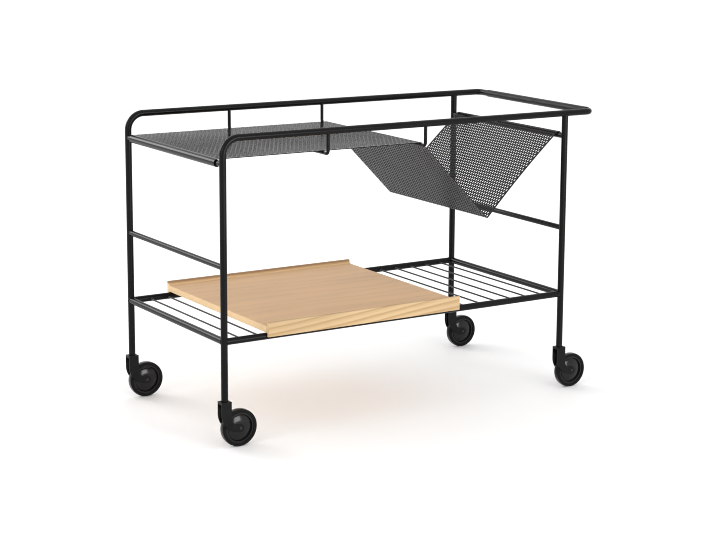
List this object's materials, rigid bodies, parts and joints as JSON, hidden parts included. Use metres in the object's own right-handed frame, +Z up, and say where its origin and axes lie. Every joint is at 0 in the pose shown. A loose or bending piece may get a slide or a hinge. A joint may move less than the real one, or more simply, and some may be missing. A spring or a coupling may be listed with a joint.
{
  "type": "storage trolley",
  "caption": "Wheeled side trolley: bent tube frame with a handle, perforated sheet shelf folded into a magazine pocket, wire rack below with a sliding wooden tray.",
  "frame": {"origin": "on the floor, in the middle of the outer box", "axes": "+X along the trolley towards the handle, +Y across it from the front to the back, +Z up"},
  "size_m": [0.8036, 0.3924, 0.543],
  "materials": {
    "frame_paint": "black powder coat, satin",
    "sheet_paint": "black powder coat on perforated sheet",
    "grip_leather": "black wrapped sleeve",
    "tray_wood": "pale oiled wood, grain along X",
    "socket_plastic": "black moulded sleeve",
    "pin_steel": "blackened steel",
    "caster_plastic": "black moulded, glossy",
    "hub_plastic": "black moulded, glossy",
    "tyre_rubber": "black, smooth"
  },
  "bodies": {
    "frame": {"top_rail_loop": "frame_paint", "right_leg_near": "frame_paint", "right_leg_far": "frame_paint", "lower_rail_near": "frame_paint", "lower_rail_far": "frame_paint", "shelf_bar_left": "frame_paint", "shelf_bar_right": "frame_paint", "mid_rung_left": "frame_paint", "mid_rung_right": "frame_paint", "lower_rung_left": "frame_paint", "lower_rung_right": "frame_paint", "lower_rack_wires": "frame_paint", "cradle_wire_left": "frame_paint", "cradle_wire_middle": "frame_paint", "perforated_shelf": "sheet_paint", "handle_grip": "grip_leather", "stem_socket_near_left": "socket_plastic", "stem_socket_far_left": "socket_plastic", "stem_socket_near_right": "socket_plastic", "stem_socket_far_right": "socket_plastic"},
    "tray": {"tray_panel": "tray_wood", "tray_back_lip": "tray_wood", "tray_front_lip": "tray_wood"},
    "caster_near_left": {"swivel_stem_near_left": "pin_steel", "caster_fork_near_left": "caster_plastic", "wheel_axle_near_left": "pin_steel"},
    "caster_far_left": {"swivel_stem_far_left": "pin_steel", "caster_fork_far_left": "caster_plastic", "wheel_axle_far_left": "pin_steel"},
    "caster_near_right": {"swivel_stem_near_right": "pin_steel", "caster_fork_near_right": "caster_plastic", "wheel_axle_near_right": "pin_steel"},
    "caster_far_right": {"swivel_stem_far_right": "pin_steel", "caster_fork_far_right": "caster_plastic", "wheel_axle_far_right": "pin_steel"},
    "wheel_near_left": {"wheel_hub_near_left": "hub_plastic", "tyre_near_left": "tyre_rubber"},
    "wheel_far_left": {"wheel_hub_far_left": "hub_plastic", "tyre_far_left": "tyre_rubber"},
    "wheel_near_right": {"wheel_hub_near_right": "hub_plastic", "tyre_near_right": "tyre_rubber"},
    "wheel_far_right": {"wheel_hub_far_right": "hub_plastic", "tyre_far_right": "tyre_rubber"}
  },
  "joints": [
    {"name": "tray_slide", "type": "slide", "parent": "frame", "child": "tray", "axis": [1, 0, 0], "range_m": [-0.073, 0.238]},
    {"name": "swivel_near_left", "type": "hinge", "parent": "frame", "child": "caster_near_left", "pos_m": [-0.39227, -0.184, 0.083], "axis": [0, 0, 1], "continuous": true},
    {"name": "swivel_far_left", "type": "hinge", "parent": "frame", "child": "caster_far_left", "pos_m": [-0.39227, 0.184, 0.083], "axis": [0, 0, 1], "continuous": true},
    {"name": "swivel_near_right", "type": "hinge", "parent": "frame", "child": "caster_near_right", "pos_m": [0.33172, -0.184, 0.083], "axis": [0, 0, 1], "continuous": true},
    {"name": "swivel_far_right", "type": "hinge", "parent": "frame", "child": "caster_far_right", "pos_m": [0.33172, 0.184, 0.083], "axis": [0, 0, 1], "continuous": true},
    {"name": "roll_near_left", "type": "hinge", "parent": "caster_near_left", "child": "wheel_near_left", "pos_m": [-0.36578, -0.184, 0.03325], "axis": [0, 1, 0], "continuous": true},
    {"name": "roll_far_left", "type": "hinge", "parent": "caster_far_left", "child": "wheel_far_left", "pos_m": [-0.36578, 0.184, 0.03325], "axis": [0, 1, 0], "continuous": true},
    {"name": "roll_near_right", "type": "hinge", "parent": "caster_near_right", "child": "wheel_near_right", "pos_m": [0.35823, -0.184, 0.03325], "axis": [0, 1, 0], "continuous": true},
    {"name": "roll_far_right", "type": "hinge", "parent": "caster_far_right", "child": "wheel_far_right", "pos_m": [0.35823, 0.184, 0.03325], "axis": [0, 1, 0], "continuous": true}
  ]
}
